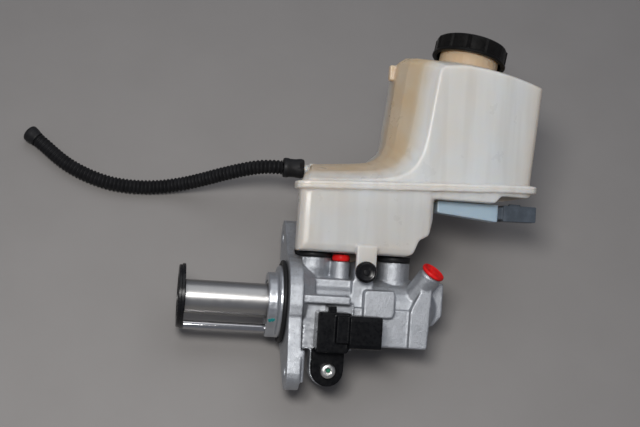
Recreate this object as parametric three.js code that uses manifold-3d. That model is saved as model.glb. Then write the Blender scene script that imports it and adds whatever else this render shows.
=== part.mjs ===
// Tandem brake master cylinder with its fluid reservoir, lying on its side.
//
// Everything except the breather hose is modelled in the bench frame of the casting:
//   +X  along the bore, from the booster face (x = 0) towards the closed nose
//   +Y  towards the filler cap of the reservoir
//   +Z  towards the brake light switch
// The bench group is then rolled about the bore by LIE_ANGLE and lifted, so that the
// flange, the bracket boss and one long edge of the reservoir rest on the plane Z = 0.
import * as THREE from "three";
import { mergeVertices } from "three/addons/utils/BufferGeometryUtils.js";
import { ConvexGeometry } from "three/addons/geometries/ConvexGeometry.js";
import Module from "manifold-3d";

const wasm = await Module();
wasm.setup();

// ---------------------------------------------------------------- driving dimensions, mm
const GAP = 0.3; // between pieces that touch
const LIE_ANGLE = THREE.MathUtils.degToRad(32); // roll about the bore when lying down
const REST_DEPTH = 34; // bore axis above the surface
// Middle of the footprint, measured from the booster face and the bore axis.
const CENTRE = { x: 51.4, y: 61.42 };

const PISTON_R = 11.7;
const BORE_R = 12.1;
const STROKE = 30; // travel of the primary piston and its switch rod
const PISTON_REAR = -68.4; // the primary piston stands this far out of the casting
const COLLAR = { front: -12.3, r: 20 }; // collar that enters the booster
const REGISTER = { front: -5.6, r: 25 };
const FLANGE = { thick: 9.4, r: 33.8, earU: 45, earV: 28.6, earR: 12.2, holeR: 4.6 };
const NOSE_X = 111.4;
const BORE_END = 101.2;

const ROD = { y: -19.2, z: 2, r: 3.2, boreR: 3.6, front: 36 }; // switch rod beside the piston
const REAR_BOSS = { x: 18.6, r: 12.8, top: 32.4, flangeR: 12.9 };
const FRONT_BOSS = { x: 75.9, r: 11.6, top: 31.7, flangeR: 11.9 };
const OUTLET = { x: 37.2, z: 7, r: 6.5, top: 30.4 }; // middle outlet, primary circuit
const PIN = { x: 51.5, y: 24.2, r: 3, headR: 7.3 }; // holds the reservoir leg

const RES = { floor: 36.2, near: 24, far: -65.9, wall: 2.6, left: 3.9, right: 98.5, end: 171 };
const SEAM = { y0: 80.9, slope: 0.0483, lip: 3, plate: 2.8 }; // joint plane of the two shells
const TOWER_LEAN = 0.08; // sideways per unit of height
const CAP = { x: 127.4, y: 181.8, z: -20, tiltX: 10.8, tiltZ: 5, h: 13.8, r: 25.8, rimR: 27.1 };
const NECK = { r: 21.6, boreR: 17.6, top: 8.6 };
const FLOAT = { x: 125, z: 0, r: 9, low: 81.2, h: 11 };
const FRONT_PORT = { at: [99.6, 27, 22], towards: [0.44, 0.784, 0.44], r: 8.2, boreR: 4.7 };
const SWITCH = { x: 28.1, screwY: -42.6, pad: 27, lobeR: 10.8 };
const HOSE = { r: 5.4, cuffR: 7.4, endCuffR: 6.3, nipple: { y: 97, z: -50, r: 3.8 } };

// ---------------------------------------------------------------- solids
function solid(geometry) {
  const bare = geometry.index ? geometry.toNonIndexed() : geometry.clone();
  bare.deleteAttribute("normal");
  bare.deleteAttribute("uv");
  const merged = mergeVertices(bare, 1e-4);
  const tri = new Uint32Array(merged.index.array);
  const make = () =>
    new wasm.Manifold(
      new wasm.Mesh({ numProp: 3, vertProperties: merged.attributes.position.array, triVerts: tri }),
    );
  const made = make();
  if (made.volume() > 0) return made;
  tri.reverse();
  return make();
}

function geometryOf(body) {
  const mesh = body.getMesh();
  const points = new Float32Array(mesh.numVert * 3);
  for (let i = 0; i < mesh.numVert; i++)
    points.set(mesh.vertProperties.subarray(i * mesh.numProp, i * mesh.numProp + 3), i * 3);
  const geometry = new THREE.BufferGeometry()
    .setAttribute("position", new THREE.BufferAttribute(points, 3))
    .setIndex(new THREE.BufferAttribute(mesh.triVerts, 1))
    .toNonIndexed();
  geometry.computeVertexNormals();
  return geometry;
}

const join = (first, ...rest) => rest.reduce((a, b) => a.add(b), first);
const cut = (first, ...rest) => rest.reduce((a, b) => a.subtract(b), first);
const common = (first, ...rest) => rest.reduce((a, b) => a.intersect(b), first);

// A box between two corners.
function box(low, high) {
  const size = low.map((v, i) => high[i] - v);
  const mid = low.map((v, i) => (high[i] + v) / 2);
  return solid(new THREE.BoxGeometry(...size).translate(...mid));
}

// A turned solid: the profile is a list of [radius, distance along the axis].
function turned(profile, at, axis, segments = 24) {
  const points = profile.map(([r, t]) => new THREE.Vector2(r, t));
  const turn = new THREE.Quaternion().setFromUnitVectors(
    new THREE.Vector3(0, 1, 0),
    new THREE.Vector3(...axis).normalize(),
  );
  const geometry = new THREE.LatheGeometry(points, segments);
  return solid(geometry.applyQuaternion(turn).translate(...at));
}

const rod = (r, from, to, at, axis, segments = 24) =>
  turned([[0, from], [r, from], [r, to], [0, to]], at, axis, segments);
const ring = (inner, outer, from, to, at, axis, segments = 24) =>
  turned([[inner, from], [outer, from], [outer, to], [inner, to], [inner, from]], at, axis, segments);
const X = [1, 0, 0];
const Y = [0, 1, 0];
const Z = [0, 0, 1];
const ORIGIN = [0, 0, 0];

// A closed outline through corners [a, b, radius], the corners rounded.
function outline(corners, steps = 2) {
  const shape = new THREE.Shape();
  const count = corners.length;
  corners.forEach(([a, b, radius = 0], i) => {
    const corner = new THREE.Vector2(a, b);
    const before = new THREE.Vector2(...corners[(i + count - 1) % count].slice(0, 2)).sub(corner);
    const after = new THREE.Vector2(...corners[(i + 1) % count].slice(0, 2)).sub(corner);
    const start = corner.clone().addScaledVector(before.clone().normalize(), radius);
    const end = corner.clone().addScaledVector(after.clone().normalize(), radius);
    if (i === 0) shape.moveTo(start.x, start.y);
    else shape.lineTo(start.x, start.y);
    for (let s = 1; radius && s <= steps; s++) {
      const t = s / steps;
      const p = start.clone().multiplyScalar((1 - t) ** 2);
      p.addScaledVector(corner, 2 * t * (1 - t)).addScaledVector(end, t * t);
      shape.lineTo(p.x, p.y);
    }
  });
  return shape;
}

// An outline pushed straight: "side" lies in XY and runs along Z, "plan" lies in XZ and runs
// along Y, and "front" lies in YZ and runs along X.
function prism(kind, corners, from, to, steps) {
  const geometry = new THREE.ExtrudeGeometry(outline(corners, steps), {
    depth: to - from,
    bevelEnabled: false,
  });
  geometry.translate(0, 0, from);
  const place = new THREE.Matrix4();
  const [ex, ey, ez] = ORIGIN.map((_, i) => new THREE.Vector3().setComponent(i, 1));
  if (kind === "plan") place.makeBasis(ex, ez, ey);
  if (kind === "front") place.makeBasis(ey, ez, ex);
  return solid(geometry.applyMatrix4(place));
}

// The convex solid round two or more discs [y, z, r], between two stations along X.
function hull(discs, from, to, segments = 24) {
  const points = [];
  for (const [y, z, r] of discs)
    for (let i = 0; i < segments; i++) {
      const a = (i / segments) * 2 * Math.PI;
      for (const x of [from, to])
        points.push(new THREE.Vector3(x, y + r * Math.cos(a), z + r * Math.sin(a)));
    }
  return solid(new ConvexGeometry(points));
}

// A wire of round section wound into a helix about the bore axis.
function coil(radius, wire, from, to, turns) {
  const steps = turns * 7;
  const helix = new THREE.CatmullRomCurve3(
    Array.from({ length: steps + 1 }, (_, i) => {
      const a = (i / steps) * turns * 2 * Math.PI;
      const x = from + ((to - from) * i) / steps;
      return new THREE.Vector3(x, radius * Math.cos(a), radius * Math.sin(a));
    }),
  );
  const section = new THREE.Shape();
  section.absarc(0, 0, wire, 0, 2 * Math.PI);
  return solid(
    new THREE.ExtrudeGeometry(section, {
      steps,
      curveSegments: 2,
      extrudePath: helix,
      bevelEnabled: false,
    }),
  );
}

// ---------------------------------------------------------------- materials
const finish = (color, roughness, metalness = 0) =>
  new THREE.MeshStandardMaterial({ color, roughness, metalness });
const MATERIALS = {
  casting: finish(0xa6a9ae, 0.45, 0.9),
  steel: finish(0xc4c6c8, 0.2, 1),
  anodised: finish(0xb4b6b8, 0.28, 1),
  black: finish(0x1b1b1d, 0.45),
  rubber: finish(0x171717, 0.75),
  natural: finish(0xd6cfc0, 0.4),
  natural_inner: finish(0xcac3b2, 0.5),
  blue_grey: finish(0x9fb4c0, 0.4),
  red: finish(0xc4161a, 0.4),
  brass: finish(0xb99a55, 0.35, 1),
};

const bench = new THREE.Group(); // the assembly in its bench frame
const part = new THREE.Group(); // the assembly as it lies

function add(group, name, body, material) {
  const mesh = new THREE.Mesh(geometryOf(body), MATERIALS[material]);
  mesh.name = name;
  group.add(mesh);
}

// ---------------------------------------------------------------- casting
const portAxis = new THREE.Vector3(...FRONT_PORT.towards).normalize();
const portAt = (t) => new THREE.Vector3(...FRONT_PORT.at).addScaledVector(portAxis, t).toArray();
const BRACKET_BOSS = { x: 90, r: 7 };
const SEAL_GROOVES = [
  { name: "outer_vacuum_seal", x: 7, w: 4 },
  { name: "primary_cup_seal", x: 25, w: 4.4 },
  { name: "separating_seal", x: 61, w: 4.4 },
  { name: "secondary_cup_seal", x: 81.4, w: 4.4 },
];
const GROOVE_R = 15.4;

function flangeBody() {
  const { thick, r, earU, earV, earR, holeR } = FLANGE;
  const plate = join(
    hull([[0, 0, 29.5], [earU, -earV, earR], [-earU, earV, earR]], 0, thick),
    rod(r, 0, thick, ORIGIN, X, 32),
    turned([[0, thick - 0.5], [30, thick - 0.5], [23, 19], [0, 19]], ORIGIN, X),
  );
  const pad = box([thick - 1, -earU - 6, earV - 2], [thick + 2.6, -earU + 15, earV + 9.5]);
  const studs = [1, -1].map((s) => rod(holeR, -1, thick + 8, [0, s * earU, -s * earV], X, 16));
  return cut(join(plate, pad), ...studs);
}

function barrelBody() {
  return join(
    rod(20, 4, 98, ORIGIN, X),
    turned([[0, 88], [14.8, 88], [14.8, 99.4], [13.6, 102.4], [9.5, 105.6], [0, 105.6]], ORIGIN, X),
    hull([[ROD.y, ROD.z, 8.2], [-6, 0, 19]], 4, 97.8, 20),
    box([41, -26.6, 0], [92, -0.6, 21.5]),
    prism("side", [[52, 11.8, 2], [73.6, 12.2, 3], [73.6, -6.6, 4], [52, -6.6, 1]], 0, 25.5, 2),
    prism("side", [
      [84.6, -26.4, 1.5], [97.8, -26.6, 2], [99.7, 18.6, 1], [94.9, 20.4, 1], [84.9, 0, 2],
    ], 4, 24),
    prism("side", [
      [90, 19.2], [NOSE_X, 19.2, 1.5], [NOSE_X, -3.4, 1.5], [105.4, -10.5, 1], [90, -15],
    ], -17, 8),
  );
}

function bossesAndPads() {
  const { x, screwY, pad, lobeR } = SWITCH;
  const down = [0, -Math.sin(LIE_ANGLE), -Math.cos(LIE_ANGLE)];
  return join(
    turned([[0, 6], [9, 8], [REAR_BOSS.r, 25], [REAR_BOSS.r, REAR_BOSS.top], [0, REAR_BOSS.top]],
      [REAR_BOSS.x, 0, 0], Y),
    rod(FRONT_BOSS.r, 8, FRONT_BOSS.top, [FRONT_BOSS.x, 0, 0], Y),
    rod(OUTLET.r, 8, OUTLET.top, [OUTLET.x, 0, OUTLET.z], Y, 20),
    box([5, 1.6, 2], [44, 18, 15]),
    box([44, 6, -13], [59, 18, 19]),
    prism("side", [[45.5, 16], [57.5, 16], [57.5, 31, 5], [45.5, 31, 5]], -13, 19),
    box([9.2, 1.4, 4], [42, 6.6, 29.5]),
    box([10.8, -29.4, 4], [45, 2, pad]),
    box([x - 11.4, screwY, 15], [x + 11.4, -18, pad]),
    rod(lobeR + 0.6, 15, pad, [x, screwY, 0], Z),
    turned([[0, -34], [FRONT_PORT.r, -34], [FRONT_PORT.r, -3], [FRONT_PORT.r - 1, -1.6], [0, -1.6]],
      FRONT_PORT.at, FRONT_PORT.towards),
    rod(BRACKET_BOSS.r, 8, REST_DEPTH, [BRACKET_BOSS.x, 0, 0], down),
  );
}

function casting() {
  const { x, screwY, pad } = SWITCH;
  const outside = join(
    rod(COLLAR.r, COLLAR.front, 2, ORIGIN, X, 28),
    hull([[ROD.y, ROD.z, 5.6], [-8, 0, 14]], COLLAR.front, 2, 20),
    turned([[0, REGISTER.front], [REGISTER.r - 1, REGISTER.front], [REGISTER.r, REGISTER.front + 1],
      [REGISTER.r, 1], [0, 1]], ORIGIN, X, 32),
    flangeBody(),
    barrelBody(),
    bossesAndPads(),
  );
  const grooves = SEAL_GROOVES.map((g) => rod(GROOVE_R, g.x, g.x + g.w, ORIGIN, X));
  const drill = (r, from, to, at, axis) => rod(r, from, to, at, axis, 12);
  return cut(
    outside,
    rod(BORE_R, -20, BORE_END, ORIGIN, X),
    rod(14.4, -20, -5.2, ORIGIN, X), // seat of the guide ring
    ...grooves,
    rod(ROD.boreR, -20, ROD.front + STROKE + 4, [0, ROD.y, ROD.z], X, 16),
    rod(10.2, 22, 40, [REAR_BOSS.x, 0, 0], Y),
    rod(REAR_BOSS.flangeR + 0.6, REAR_BOSS.top, 37, [REAR_BOSS.x, 0, 0], Y),
    rod(OUTLET.r + 0.3, OUTLET.top, 37, [OUTLET.x, 0, OUTLET.z], Y, 20),
    drill(2.2, 0, 24, [REAR_BOSS.x, 0, 0], Y),
    rod(9.4, 22, 40, [FRONT_BOSS.x, 0, 0], Y),
    drill(2.2, 0, 24, [FRONT_BOSS.x, 0, 0], Y),
    drill(4.6, 16, 40, [OUTLET.x, 0, OUTLET.z], Y),
    drill(1.6, 0, 20, [OUTLET.x, 0, OUTLET.z], Y),
    drill(FRONT_PORT.boreR, -16, 4, FRONT_PORT.at, FRONT_PORT.towards),
    drill(1.5, -30, -10, FRONT_PORT.at, FRONT_PORT.towards),
    drill(PIN.r + 0.4, -30, 40, [PIN.x, PIN.y, 0], Z),
    drill(2.2, 18, pad + 1, [x, screwY, 0], Z),
    rod(7.6, 12, pad + 1, [x + 2, -13, 0], Z, 16), // pocket of the switch nose
  );
}

add(bench, "cylinder_casting", casting(), "casting");

// ---------------------------------------------------------------- seals and rings of the bore
add(bench, "flange_o_ring",
  turned([[26, -3.4], [28.4, -3], [28.8, -1.6], [28, -0.4], [25.4, -0.5], [25.4, -2.8], [26, -3.4]],
    ORIGIN, X, 32), "rubber");
add(bench, "piston_guide_ring", ring(12.1, 14.1, COLLAR.front + 2.4, -5.5, ORIGIN, X), "black");
add(bench, "retaining_ring",
  cut(
    ring(12.3, 14.2, COLLAR.front + 0.7, COLLAR.front + 2, ORIGIN, X),
    box([-13, -3, 10], [-9, 3, 16]),
  ), "steel");
for (const groove of SEAL_GROOVES) {
  const a = groove.x + GAP;
  const b = groove.x + groove.w - GAP;
  const lips = [[11.95, a], [15.1, a], [15.1, b], [13.6, a + 1.4], [11.95, b], [11.95, a]];
  add(bench, groove.name, turned(lips, ORIGIN, X), "rubber");
}

// ---------------------------------------------------------------- pistons, springs, switch rod
const PRIMARY = { front: 34, web: 6, socketR: 7.4, springR: 9.2 };
const SECONDARY = { rear: 52, front: 87.5, web: 56, springR: 9.2 };
add(bench, "primary_piston",
  turned([[0, -44], [PRIMARY.socketR - 3, -47], [PRIMARY.socketR, -50], [PRIMARY.socketR, PISTON_REAR],
    [PISTON_R, PISTON_REAR], [PISTON_R, PRIMARY.front], [PRIMARY.springR, PRIMARY.front],
    [PRIMARY.springR, PRIMARY.web], [0, PRIMARY.web]], ORIGIN, X), "anodised");
add(bench, "push_plate",
  cut(
    join(
      ring(8.6, 22.4, PISTON_REAR - 2.6, PISTON_REAR - GAP, ORIGIN, X, 28),
      ring(15.5, 21.6, PISTON_REAR - 4.8, PISTON_REAR - 2.4, ORIGIN, X, 28),
    ),
    rod(2.4, PISTON_REAR - 6, PISTON_REAR + 1, [0, ROD.y, ROD.z], X, 12),
  ), "black");
add(bench, "switch_rod",
  join(
    rod(ROD.r, PISTON_REAR, 22, [0, ROD.y, ROD.z], X, 16),
    rod(2.1, PISTON_REAR - 4.4, PISTON_REAR + 1, [0, ROD.y, ROD.z], X, 12),
    rod(1.4, 21, ROD.front - 0.6, [0, ROD.y, ROD.z], X, 12),
  ), "steel");
add(bench, "rod_magnet", ring(1.7, ROD.r, 22 + GAP, ROD.front, [0, ROD.y, ROD.z], X, 16), "black");
add(bench, "primary_spring", coil(7.6, 1.1, PRIMARY.web + 1.5, SECONDARY.rear - 1.5, 6), "steel");
add(bench, "secondary_piston",
  turned([[0, SECONDARY.rear], [PISTON_R - 1, SECONDARY.rear], [PISTON_R, SECONDARY.rear + 1],
    [PISTON_R, SECONDARY.front], [SECONDARY.springR, SECONDARY.front],
    [SECONDARY.springR, SECONDARY.web + 8], [0, SECONDARY.web + 8]], ORIGIN, X), "anodised");
add(bench, "secondary_spring", coil(7.6, 1, SECONDARY.web + 9.5, BORE_END - 1.5, 5), "steel");

// ---------------------------------------------------------------- reservoir
const SEAM_LENGTH = 260;
// Everything below (-1) or above (+1) the joint plane, starting a distance away from it.
function seamSide(side, away) {
  const block = new THREE.BoxGeometry(SEAM_LENGTH, 140, 140);
  block.translate(SEAM_LENGTH / 2 - 40, side * (70 + away), -20);
  block.rotateZ(Math.atan(SEAM.slope));
  return solid(block.translate(0, SEAM.y0, 0));
}

// The lower shell grown by "out" (negative for its hollow).
function lowerForm(out) {
  const { floor, near, far, left, right, end } = RES;
  const low = left - out;
  const sole = floor - out;
  const front = near + out;
  const back = far - out;
  const deep = common(
    prism("side", [
      [low, sole], [80 + 0.6 * out, sole], [84.5 + out, 38.4 - out, 1.5],
      [88.2 + out, 48.4 - 0.7 * out, 1.5], [95 + 0.8 * out, 51.6 - out, 2.5],
      [right + out, 66, 4], [right + out, 120], [low, 120],
    ], far - 5, near + 5, 3),
    prism("plan", [
      [low, front, 7], [right + out, front, 9], [right + out, back, 12], [28 - out, back, 8],
      [17 - out, -44 - out, 6], [12 - out, 0.5, 3], [low, 9, 3],
    ], 20, 120, 3),
    prism("front", [[sole, back, 8], [sole, front, 5], [120, front], [120, back]], left - 5, right + 5),
  );
  const tray = common(
    prism("side", [
      [90, 77.6 - out], [141, 77.6 - out], [146 + out, 83 - out], [end - 3 + out, 83 - out, 2],
      [end + out, 88, 1], [end + out, 120], [90, 120],
    ], far, near),
    prism("plan", [
      [90, near - 1.5 + out], [141, near - 1.5 + out, 8], [end + out, 15 + out, 8],
      [end + out, far + 5 - out, 14], [90, far + 5 - out],
    ], 20, 120),
  );
  return join(deep, tray);
}

function seamPlate(side) {
  const { near, far, left, end } = RES;
  const { lip } = SEAM;
  const plate = prism("plan", [
    [left - lip, near + lip, 9], [100, near + lip, 6], [141, near + lip - 1.4, 10],
    [end + lip, 15 + lip, 9], [end + lip, far - lip + 5, 15], [100, far - lip, 6],
    [27 - lip, far - lip, 8], [17 - lip, -44 - lip, 6], [12 - lip, 1, 3], [left - lip, 9.5, 3],
  ], 20, 120, 3);
  return common(plate, seamSide(side, 0.15), seamSide(-side, -SEAM.plate));
}

function lowerShell() {
  const { floor, near, wall } = RES;
  const hollow = common(lowerForm(-wall), seamSide(-1, -9));
  const spigot = (boss) => ring(5.4, 7.4, 24.5, floor + 1, [boss.x, 0, 0], Y, 20);
  const drain = (boss) => rod(5.4, 20, floor + wall + 1, [boss.x, 0, 0], Y, 20);
  const leg = (low, high) =>
    prism("side", [[45, 17.6, 6], [59, 17.6, 6], [59, floor + 6], [45, floor + 6]], low, high, 3);
  const walls = cut(join(common(lowerForm(0), seamSide(-1, 0.15)), seamPlate(-1)), hollow);
  return cut(
    join(
      walls,
      leg(20.6, near + 1.6),
      leg(-24, -18.4),
      spigot(REAR_BOSS),
      spigot(FRONT_BOSS),
      rod(2.8, 79, 128, [FLOAT.x, 0, FLOAT.z], Y, 16),
    ),
    drain(REAR_BOSS),
    drain(FRONT_BOSS),
    rod(PIN.r + 0.4, -40, 40, [PIN.x, PIN.y, 0], Z, 16),
  );
}

// The upper shell is one swept form: a low shelf over the rear that rises into the filler tower.
// These are its outlines in XY, on its near face and through its middle. Both have the same corners.
const SWEEP_NEAR = [
  [3.4, 60], [3.9, 80], [5.4, 84.5], [10, 86.6], [30, 87.6], [48.9, 88.7], [62, 90], [71, 92.2],
  [77.5, 95.6], [82.6, 101], [86.5, 109], [89.1, 120.6], [92, 142.3], [94.8, 163], [96, 168.5],
  [99.5, 171.5], [115.4, 173], [131, 171.5], [146, 168.5], [153.5, 166.5], [164.7, 163], [172, 160],
  [185, 156], [185, 60],
];
const SWEEP_MIDDLE = [
  [8, 60], [9, 90], [11, 95], [17, 98.9], [33, 100.3], [47, 101.6], [55.5, 102.8], [61.8, 105.3],
  [66.6, 109.8], [69.2, 116.8], [70, 126], [71.4, 139], [73, 155], [74.4, 171], [76, 178],
  [80.5, 181.3], [100, 180.5], [128, 178], [146, 175.5], [155, 173.8], [168, 170], [180, 166],
  [185, 164], [185, 60],
];
const SWEEP_TOWER = { foot: 9, lip: 13, top: 15 }; // corners up the tower's left edge
const SWEEP_BACK = SWEEP_MIDDLE.map(([x, y], i) => {
  const { foot, lip, top } = SWEEP_TOWER;
  return [i >= foot && i <= top ? x + 6 : x, i >= lip && y > 100 ? y - 5 : y];
});

const between = (a, b, t) => a.map(([x, y], i) => [x + (b[i][0] - x) * t, y + (b[i][1] - y) * t]);

// An outline moved outwards by "out", square to its edges. Its corners run clockwise.
function grown(corners, out) {
  const count = corners.length;
  return corners.map(([x, y], i) => {
    const before = corners[(i + count - 1) % count];
    const after = corners[(i + 1) % count];
    const along = new THREE.Vector2(after[0] - before[0], after[1] - before[1]).normalize();
    return [x - along.y * out, y + along.x * out];
  });
}

// A solid skinned over outlines [z, corners], in order of falling z.
function loft(stations) {
  const count = stations[0][1].length;
  const points = stations.flatMap(([z, corners]) => corners.map(([x, y]) => [x, y, z]));
  const faces = [];
  stations.slice(1).forEach((_, s) => {
    for (let i = 0; i < count; i++) {
      const a = s * count + i;
      const b = s * count + ((i + 1) % count);
      faces.push([a, b, b + count], [a, b + count, a + count]);
    }
  });
  const lid = (corners) =>
    THREE.ShapeUtils.triangulateShape(corners.map(([x, y]) => new THREE.Vector2(x, y)), []);
  const last = (stations.length - 1) * count;
  for (const [a, b, c] of lid(stations[0][1])) faces.push([a, b, c]);
  for (const [a, b, c] of lid(stations[stations.length - 1][1]))
    faces.push([last + a, last + c, last + b]);
  const geometry = new THREE.BufferGeometry()
    .setAttribute("position", new THREE.Float32BufferAttribute(points.flat(), 3))
    .setIndex(faces.flat());
  return solid(geometry);
}

// The upper shell grown by "out" (negative for its hollow).
function upperForm(out) {
  const { near, far, left } = RES;
  const front = near - 2 + out;
  const back = far + 2.5 - out;
  const sweep = loft([
    [front, grown(SWEEP_NEAR, out - 1.6)],
    [front - 0.6, grown(SWEEP_NEAR, out - 0.5)],
    [front - 2, grown(SWEEP_NEAR, out)],
    [10, grown(between(SWEEP_NEAR, SWEEP_MIDDLE, 0.42), out)],
    [-5, grown(between(SWEEP_NEAR, SWEEP_MIDDLE, 0.78), out)],
    [-20, grown(SWEEP_MIDDLE, out)],
    [-44, grown(SWEEP_MIDDLE, out)],
    [back + 3, grown(SWEEP_BACK, out)],
    [back, grown(SWEEP_BACK, out - 2)],
  ]);
  const plan = prism("plan", [
    [left + 1 - out, front + 2, 8], [200, front + 2], [200, back - 2], [28 - out, back, 6],
    [18 - out, -42 - out, 6], [13.4 - out, -1, 3], [left + 1 - out, 8, 3],
  ], 20, 200, 3);
  const facets = new THREE.ExtrudeGeometry(
    outline([
      [-20, front + 2], [139, front, 8], [171.5 + out, 14.5 + out, 7], [172 + out, far + 4 - out, 16],
      [-20, far + 4 - out],
    ], 4),
    { depth: 150, bevelEnabled: false },
  );
  const upright = new THREE.Matrix4();
  upright.makeBasis(new THREE.Vector3(...X), new THREE.Vector3(...Z), new THREE.Vector3(...Y));
  const lean = new THREE.Matrix4().makeShear(0, 0, TOWER_LEAN, 0, 0, 0);
  facets.applyMatrix4(upright).translate(0, 60 - 118, 0).applyMatrix4(lean).translate(0, 118, 0);
  return common(sweep, plan, solid(facets));
}

const capAxis = new THREE.Vector3(
  Math.sin(THREE.MathUtils.degToRad(CAP.tiltX)),
  1,
  -Math.sin(THREE.MathUtils.degToRad(CAP.tiltZ)),
).normalize().toArray();
const CAP_AT = [CAP.x, CAP.y, CAP.z];

function upperShell() {
  const { far, wall } = RES;
  const { y, z, r } = HOSE.nipple;
  const hollow = common(upperForm(-wall), seamSide(1, -9));
  const hump = prism("plan", [
    [17.4, -43, 2], [44, -43, 4], [44, far + 6, 5], [22, far + 6, 5],
  ], 84, y + r + 0.4, 2);
  const humpHollow = box([21, 80, -57], [41, y + r - 2, -45.4]);
  const body = join(
    common(upperForm(0), seamSide(1, 0.15)), seamPlate(1), hump,
    turned([
      [0, -14], [NECK.r, -14], [NECK.r, NECK.top - 1], [NECK.r - 0.8, NECK.top], [0, NECK.top],
    ], CAP_AT, capAxis, 28),
    rod(r, 4, 26, [0, y, z], X, 16),
    box([70, 165, -30], [80, 176, -23]), // small moulded lug for a clip
  );
  return cut(
    body, hollow, humpHollow,
    rod(NECK.boreR, -22, NECK.top + 1, CAP_AT, capAxis, 28),
    rod(2.3, 0, 30, [0, y, z], X, 12),
  );
}

add(bench, "reservoir_lower_shell", lowerShell(), "natural");
add(bench, "reservoir_upper_shell", upperShell(), "natural");
function grommet(boss, r) {
  return turned([
    [7.7, 23.5], [r - 0.8, 23.5], [r, 25], [r, boss.top + GAP], [boss.flangeR, boss.top + GAP],
    [boss.flangeR, RES.floor - GAP], [7.7, RES.floor - GAP], [7.7, 23.5],
  ], [boss.x, 0, 0], Y);
}
add(bench, "rear_grommet", grommet(REAR_BOSS, 9.9), "rubber");
add(bench, "front_grommet", grommet(FRONT_BOSS, 9.1), "rubber");
add(bench, "reservoir_pin",
  join(
    turned([
      [0, 26.1], [PIN.headR - 0.8, 26.1], [PIN.headR, 26.9], [PIN.headR, 28.9],
      [PIN.headR - 1.4, 30.4], [0, 30.8],
    ], [PIN.x, PIN.y, 0], Z, 20),
    rod(PIN.r, -27, 27, [PIN.x, PIN.y, 0], Z, 12),
  ), "black");

// ---------------------------------------------------------------- filler: strainer, gasket, cap
add(bench, "filler_strainer",
  turned([[0, -25], [16.1, -25], [16.1, NECK.top + 0.3], [20.6, NECK.top + 0.3], [20.6, NECK.top + 1],
    [15.2, NECK.top + 1], [15.2, -24], [0, -24]], CAP_AT, capAxis, 28), "natural_inner");
add(bench, "cap_gasket",
  turned([[0, 9.9], [22.6, 9.9], [22.6, 11.2], [0, 11.2]], CAP_AT, capAxis, 28), "rubber");

function fillerCap() {
  const body = turned([
    [0, 11.6], [23.6, 11.6], [23.6, 0.4], [24.4, 0], [CAP.rimR, 0], [CAP.rimR, 1.8], [CAP.r, 3],
    [CAP.r, CAP.h - 2], [CAP.r - 2, CAP.h], [0, CAP.h],
  ], CAP_AT, capAxis, 36);
  const turn = new THREE.Quaternion().setFromUnitVectors(
    new THREE.Vector3(...Y),
    new THREE.Vector3(...capAxis),
  );
  const ribs = Array.from({ length: 12 }, (_, i) => {
    const rib = new THREE.BoxGeometry(1.3, CAP.h - 3, 1.8);
    rib.translate(CAP.r, CAP.h / 2, 0).rotateY((i / 12) * 2 * Math.PI);
    return solid(rib.applyQuaternion(turn).translate(...CAP_AT));
  });
  return join(body, ...ribs);
}
add(bench, "filler_cap", fillerCap(), "black");

// ---------------------------------------------------------------- fluid level sensor
const SENSOR = { left: 103.5, right: 147.6, top: 77.3, z: 8 };
add(bench, "level_sensor_holder",
  prism("side", [
    [SENSOR.left, 69, 1], [SENSOR.right, 65, 1], [SENSOR.right, SENSOR.top],
    [SENSOR.left, SENSOR.top],
  ], -SENSOR.z, SENSOR.z, 2), "blue_grey");
add(bench, "level_sensor_connector",
  cut(
    join(
      box([SENSOR.right + GAP, 67.5, -6], [152.4, 76, 6]),
      prism("side", [[152, 66], [176, 66.4, 0.6], [176, 77.6, 0.6], [152, 77.4]], -7.5, 7.5, 1),
      box([158, 77.2, -2.2], [166, 78.8, 2.2]),
    ),
    box([160, 68, -6], [177, 76, 6]),
  ), "black");
for (const [i, z] of [-2.5, 2.5].entries()) {
  const blade = box([160 + GAP, 71.6, z - 0.4], [172, 72.4, z + 0.4]);
  add(bench, `level_sensor_terminal_${i + 1}`, blade, "brass");
}
add(bench, "level_float",
  ring(3.2, FLOAT.r, FLOAT.low, FLOAT.low + FLOAT.h, [FLOAT.x, 0, FLOAT.z], Y, 20), "natural_inner");

// ---------------------------------------------------------------- brake light switch
const SHROUD = { x0: 39, x1: 60.6, y0: -26.6, y1: -4.8, z0: 30, z1: 50 };
function switchBody() {
  const { x, screwY, pad, lobeR } = SWITCH;
  const base = pad + GAP;
  const hook = box([x - 3, -4, base], [x + 2.6, 0.6, 42]);
  const block = prism("side", [
    [18.4, -3.4, 1], [40.5, -3.4, 1], [40.5, -27], [38.6, -30], [18.4, -30],
  ], base, 44, 2);
  const lobe = join(
    rod(lobeR, base, 34, [x, screwY, 0], Z),
    box([x - lobeR, screwY, base], [x + lobeR, -28, 34]),
  );
  const collar = box([30.5, -23, 40], [42, -5.6, 48]);
  const shroud = prism("front", [
    [SHROUD.y0, SHROUD.z0, 3], [SHROUD.y1, SHROUD.z0, 3], [SHROUD.y1, SHROUD.z1, 3],
    [SHROUD.y0, SHROUD.z1, 3],
  ], SHROUD.x0, SHROUD.x1, 2);
  const nose = rod(7.2, 16, base + 1, [x + 2, -13, 0], Z, 16);
  return cut(
    join(block, hook, lobe, collar, shroud, nose),
    box([SHROUD.x0 + 6, SHROUD.y0 + 2, SHROUD.z0 + 2], [SHROUD.x1 + 1, SHROUD.y1 - 2, SHROUD.z1 - 2]),
    rod(4.2, base - 1, 36, [x, screwY, 0], Z, 16),
  );
}
add(bench, "brake_switch_body", switchBody(), "black");
for (let i = 0; i < 4; i++) {
  const y = -15.7 + 3.6 * (i - 1.5);
  const blade = box([SHROUD.x0 + 6 + GAP, y - 0.5, 39.6], [56, y + 0.5, 40.4]);
  add(bench, `brake_switch_terminal_${i + 1}`, blade, "brass");
}
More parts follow.
